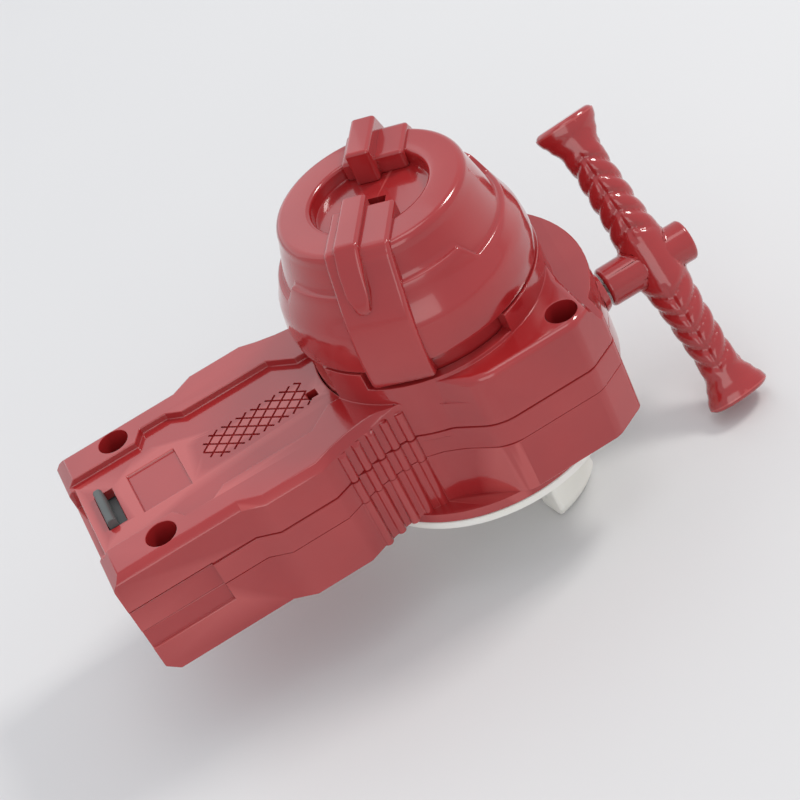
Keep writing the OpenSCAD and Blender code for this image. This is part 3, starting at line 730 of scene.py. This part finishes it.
# pull handle: bar with wrapped arms, stem and boss melted into one moulding
handleSpec = {"hubX": 45.3, "stemX": 34.0, "bossX": 53.7, "z": 13.0, "length": 66.0, "lean": 33.0, "tilt": -3.0,
              "stem": 4.2, "boss": 4.4, "stemEdge": 0.8, "lip": 1.3, "joint": 0.5, "rings": 230, "sides": 96,
              "wrapPitch": 4.15, "wrapDepth": 0.85, "wrapFrom": 5.0, "wrapTo": 26.5, "wrapSlant": 2.4,
              "wrapTurn": 0.35, "wrapPower": 3.2, "wrapBase": 0.62, "fadeIn": 1.4, "fadeOut": 1.6,
              "seamDepth": 0.6, "seamWidth": 0.11, "seamRise": 0.4}
armWidth = [(0, 5.3), (0.12, 5.2), (0.21, 4.5), (0.4, 4.05), (0.7, 3.75), (0.8, 4.3), (0.88, 5.5), (0.94, 6.5),
            (0.965, 6.7), (1, 6.6)]
armDepth = [(0, 5.1), (0.12, 4.9), (0.24, 4.1), (0.7, 3.7), (0.86, 3.8), (0.95, 4.4), (1, 4.5)]


def along(table, s):
    for (a, va), (b, vb) in zip(table, table[1:]):
        if s <= b:
            t = (s - a) / (b - a)
            return va + (vb - va) * (t * t * (3 - 2 * t))
    return table[-1][1]


def wrapRelief(s, angle):
    # flat ribbons laid diagonally, meeting in a seam along the front of the arm
    fadeIn = min(1.0, max(0.0, (s - handleSpec["wrapFrom"]) / handleSpec["fadeIn"]))
    fadeOut = min(1.0, max(0.0, (handleSpec["wrapTo"] - s) / handleSpec["fadeOut"]))
    off = abs((angle + math.pi) % (2 * math.pi) - math.pi)
    u = (s + off * handleSpec["wrapSlant"]) / handleSpec["wrapPitch"] % 1.0
    crown = 1.0 - abs(2 * u - 1.0) ** handleSpec["wrapPower"]  # steep groove, broad back
    dip = handleSpec["seamDepth"] * math.exp(-(off / handleSpec["seamWidth"]) ** 2)
    seam = 1.0 - dip * (1 - handleSpec["seamRise"] * crown)
    return fadeIn * fadeOut * handleSpec["wrapDepth"] * (crown * seam - handleSpec["wrapBase"])


def barMesh():
    bpy.ops.object.select_all(action="DESELECT")
    bpy.ops.mesh.primitive_cylinder_add(vertices=handleSpec["sides"], radius=1 * mm, depth=handleSpec["length"] * mm)
    bar = bpy.context.object
    bm = ringCuts(bar, handleSpec["rings"])
    half = handleSpec["length"] * 0.5
    for v in bm.verts:  # swell, flare and wrap each ring
        s = v.co.z / mm
        a = math.atan2(v.co.y, v.co.x)
        grow = wrapRelief(abs(s), a + math.pi * 0.5 + handleSpec["wrapTurn"])
        w = along(armWidth, abs(s) / half) + grow
        d = along(armDepth, abs(s) / half) + grow
        v.co.x = w * math.cos(a) * mm
        v.co.y = d * math.sin(a) * mm
    bmesh.update_edit_mesh(bar.data)
    bm = bmesh.from_edit_mesh(bar.data)
    for ed in bm.edges:  # rims of the oval ends
        ed.select_set(all(abs(abs(v.co.z) - half * mm) < 1e-6 for v in ed.verts))
    bmesh.update_edit_mesh(bar.data)
    bpy.ops.mesh.bevel(offset=handleSpec["lip"] * mm, segments=6, affect="EDGES")
    bpy.ops.object.mode_set(mode="OBJECT")
    lean = Matrix.Rotation(math.radians(-handleSpec["lean"]), 4, "X")
    tilt = Matrix.Rotation(math.radians(handleSpec["tilt"]), 4, "Y")
    bar.data.transform(Matrix.Translation((handleSpec["hubX"] * mm, 0, handleSpec["z"] * mm)) @ (lean @ tilt))
    return bar


def stemMesh():
    bpy.ops.object.select_all(action="DESELECT")
    length = handleSpec["bossX"] - handleSpec["stemX"]
    bpy.ops.mesh.primitive_cylinder_add(vertices=48, radius=handleSpec["stem"] * mm, depth=length * mm)
    stem = bpy.context.object
    bpy.ops.object.mode_set(mode="EDIT")
    bm = bmesh.from_edit_mesh(stem.data)
    for v in bm.verts:
        if v.co.z > 0:
            v.co.x *= handleSpec["boss"] / handleSpec["stem"]
            v.co.y *= handleSpec["boss"] / handleSpec["stem"]
    for ed in bm.edges:
        ed.select_set(climb(ed) < 1e-7)
    bmesh.update_edit_mesh(stem.data)
    bpy.ops.mesh.bevel(offset=handleSpec["stemEdge"] * mm, segments=4, affect="EDGES")
    bpy.ops.object.mode_set(mode="OBJECT")
    centre = 0.5 * (handleSpec["bossX"] + handleSpec["stemX"])
    stem.data.transform(Matrix.Translation((centre * mm, 0, handleSpec["z"] * mm))
                        @ Matrix.Rotation(math.pi / 2, 4, "Y"))
    return stem


handle = barMesh()
handle.name = "pullHandle"
handle.data.name = "pullHandle"
cutWith(handle, stemMesh(), operation="UNION")
softenEdges(handle, handleSpec["joint"] * mm, 3, angle=48)
paint(handle, redPlastic)
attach(handle, "handle")
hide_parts("pull_handle", "handle_plug")
print("handle done:", len(handle.data.polygons), "faces")


# cord between the spool and the handle, straight when it is pulled
cordSpec = {"from": 17.75, "to": 48.4, "z": 13.0, "radius": 0.9, "rings": 70, "plait": 0.05, "strands": 4,
            "twist": 5.0, "slim": 0.94}
bpy.ops.object.select_all(action="DESELECT")
bpy.ops.mesh.primitive_cylinder_add(vertices=20, radius=cordSpec["radius"] * mm,
                                    depth=(cordSpec["to"] - cordSpec["from"]) * mm)
cordRun = bpy.context.object
cordRun.name = "cordRun"
bm = ringCuts(cordRun, cordSpec["rings"])
for v in bm.verts:  # plaited strands
    s = v.co.z / mm
    a = math.atan2(v.co.y, v.co.x)
    swell = 1.0 + cordSpec["plait"] * math.cos(cordSpec["strands"] * a + cordSpec["twist"] * s)
    v.co.x *= swell * cordSpec["slim"]
    v.co.y *= swell * cordSpec["slim"]
bmesh.update_edit_mesh(cordRun.data)
bpy.ops.object.mode_set(mode="OBJECT")
cordRun.data.transform(Matrix.Translation((0.5 * (cordSpec["from"] + cordSpec["to"]) * mm, 0, cordSpec["z"] * mm))
                       @ Matrix.Rotation(math.pi / 2, 4, "Y"))
bpy.ops.object.shade_smooth()
paint(cordRun, cordBraid)
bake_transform(cordRun, "casing", "cord_end", start=(0.029, 0, 0.013), end=(0.036, 0, 0.013))
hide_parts("cord_pull", "cord_lead")

# two layers of turns on the spool, wound up and then down
coilSpec = {"layers": ((15.55, 1), (17.25, -1)), "turns": 3, "strand": 0.86, "halfPitch": 0.66, "steps": 64}
coils = []
for r, way in coilSpec["layers"]:
    bpy.ops.object.select_all(action="DESELECT")
    height = coilSpec["turns"] * coilSpec["strand"] * way
    lift = cordSpec["z"] - height * coilSpec["halfPitch"]
    bpy.ops.mesh.primitive_circle_add(vertices=12, radius=coilSpec["strand"] * mm,
                                      location=(r * mm, 0, lift * mm), rotation=(math.pi / 2, 0, 0))
    coil = bpy.context.object
    bpy.ops.object.transform_apply(location=True, rotation=True, scale=True)
    wind = coil.modifiers.new("wind", "SCREW")
    wind.axis = "Z"
    wind.angle = 2 * math.pi * coilSpec["turns"]
    wind.screw_offset = height * 2 * coilSpec["halfPitch"] * mm
    wind.steps = coilSpec["steps"] * coilSpec["turns"]
    wind.render_steps = wind.steps
    applyAll(coil)
    closeUp(coil, fill=True)
    coils.append(coil)
cordTurns = joinAll(coils, "cordTurns")
bpy.ops.object.shade_smooth_by_angle(angle=math.radians(50))
paint(cordTurns, cordBraid)
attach(cordTurns, "spool")
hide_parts("cord_winding")

# knot in the handle: a ring led over and under itself
knotSpec = {"x": 49.6, "size": 0.42, "ring": 2.0, "strand": 0.5, "swell": 1.5}


def knotPoint(t):
    across = math.sin(t) + 2 * math.sin(2 * t)
    up = math.cos(t) - 2 * math.cos(2 * t)
    return Vector((-math.sin(3 * t), across, up)) * knotSpec["size"]


bpy.ops.object.select_all(action="DESELECT")
bpy.ops.mesh.primitive_torus_add(major_segments=120, minor_segments=12, major_radius=knotSpec["ring"],
                                 minor_radius=knotSpec["strand"])
cordKnot = bpy.context.object
cordKnot.name = "cordKnot"
knotCentre = Vector((knotSpec["x"], 0, cordSpec["z"]))
for v in cordKnot.data.vertices:
    t = math.atan2(v.co.y, v.co.x)
    out, lift = math.hypot(v.co.x, v.co.y) - knotSpec["ring"], v.co.z
    ahead = (knotPoint(t + 0.01) - knotPoint(t - 0.01)).normalized()
    across = ahead.cross(Vector((1, 0, 0))).normalized()
    over = across.cross(ahead)
    v.co = (knotPoint(t) + (across * out + over * lift) * knotSpec["swell"] + knotCentre) * mm
closeUp(cordKnot)
bpy.ops.object.shade_smooth()
paint(cordKnot, cordBraid)
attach(cordKnot, "cord_end")
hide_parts("cord_knot")
print("cord done")


# floor and light
stageSpec = {"floorDark": (0.655, 0.655, 0.655), "floorPale": (0.69, 0.69, 0.687), "floorDrift": (6.0, 2.0),
             "floorRough": 0.7, "floorSize": 6, "floorGap": 0.0002, "world": (0.93, 0.95, 1.0), "worldLevel": 0.72}
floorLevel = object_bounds()[0][2] - stageSpec["floorGap"]
bpy.ops.object.select_all(action="DESELECT")
bpy.ops.mesh.primitive_plane_add(size=stageSpec["floorSize"], location=(0, 0, floorLevel))
floor = bpy.context.object
floor.name = "floor"
floorMat = bpy.data.materials.new("pale_floor")
floorMat.use_nodes = True
nt = floorMat.node_tree
shader = nt.nodes["Principled BSDF"]
drift = noiseNode(nt, nt.nodes.new("ShaderNodeTexCoord"), *stageSpec["floorDrift"])
tint = rampNode(nt, (0.0, 1.0), stageSpec["floorDark"], stageSpec["floorPale"])
nt.links.new(drift.outputs["Fac"], tint.inputs["Fac"])
nt.links.new(tint.outputs["Color"], shader.inputs["Base Color"])
shader.inputs["Roughness"].default_value = stageSpec["floorRough"]
paint(floor, floorMat)

world = bpy.data.worlds.new("studio")
world.use_nodes = True
bpy.context.scene.world = world
world.node_tree.nodes["Background"].inputs["Color"].default_value = (*stageSpec["world"], 1)
world.node_tree.nodes["Background"].inputs["Strength"].default_value = stageSpec["worldLevel"]

lampSpec = {"window": {"at": (-0.5, 0.85, 0.8), "size": 1.6, "power": 4.4, "colour": (0.97, 0.98, 1.0)},
            "overhead": {"at": (0.15, -0.1, 1.1), "size": 0.45, "power": 1.1, "colour": (1.0, 0.99, 0.97)},
            "glint": {"at": (0.65, 0.05, 0.75), "size": 0.2, "power": 3.4, "colour": (1.0, 0.98, 0.95)},
            "front": {"at": (-0.25, -0.95, 0.45), "size": 0.7, "power": 2.2, "colour": (1.0, 0.97, 0.94)}}
lampTarget = Vector((0, 0, 0.02))
for name, spec in lampSpec.items():
    bpy.ops.object.select_all(action="DESELECT")
    bpy.ops.object.light_add(type="AREA", location=spec["at"])
    lamp = bpy.context.object
    lamp.name = name
    lamp.data.size = spec["size"]
    lamp.data.energy = spec["power"]
    lamp.data.color = spec["colour"]
    lamp.rotation_euler = (lampTarget - Vector(spec["at"])).to_track_quat("-Z", "Y").to_euler()
print("floor and light done")

# camera solved from the straight edges of the casing
viewSpec = {"azimuth": -6.254, "elevation": 38.323, "roll": -27.338, "across": 14.593, "up": -1.428,
            "away": 399.569, "lift": 4.5, "lens": 90.004, "film": 36.0, "near": 0.01, "far": 20.0}
az, el, ro = (math.radians(viewSpec[k]) for k in ("azimuth", "elevation", "roll"))
back = Vector((math.sin(az) * math.cos(el), -math.cos(az) * math.cos(el), math.sin(el)))
fwd = -back
right = fwd.cross(Vector((0, 0, 1))).normalized()
up = right.cross(fwd)
camX = math.cos(ro) * right + math.sin(ro) * up
camY = -math.sin(ro) * right + math.cos(ro) * up
eye = Vector((0, 0, viewSpec["lift"]))
eye -= viewSpec["across"] * camX + viewSpec["up"] * camY + viewSpec["away"] * fwd
camData = bpy.data.cameras.new("photoView")
camData.sensor_width = viewSpec["film"]
camData.lens = viewSpec["lens"]
camData.clip_start = viewSpec["near"]
camData.clip_end = viewSpec["far"]
camera = bpy.data.objects.new("photoView", camData)
bpy.context.scene.collection.objects.link(camera)
camera.matrix_world = Matrix(((camX.x, camY.x, back.x, eye.x * mm), (camX.y, camY.y, back.y, eye.y * mm),
                              (camX.z, camY.z, back.z, eye.z * mm), (0, 0, 0, 1)))
bpy.context.scene.camera = camera
bpy.context.scene.view_settings.view_transform = "Standard"

print("scene ready")
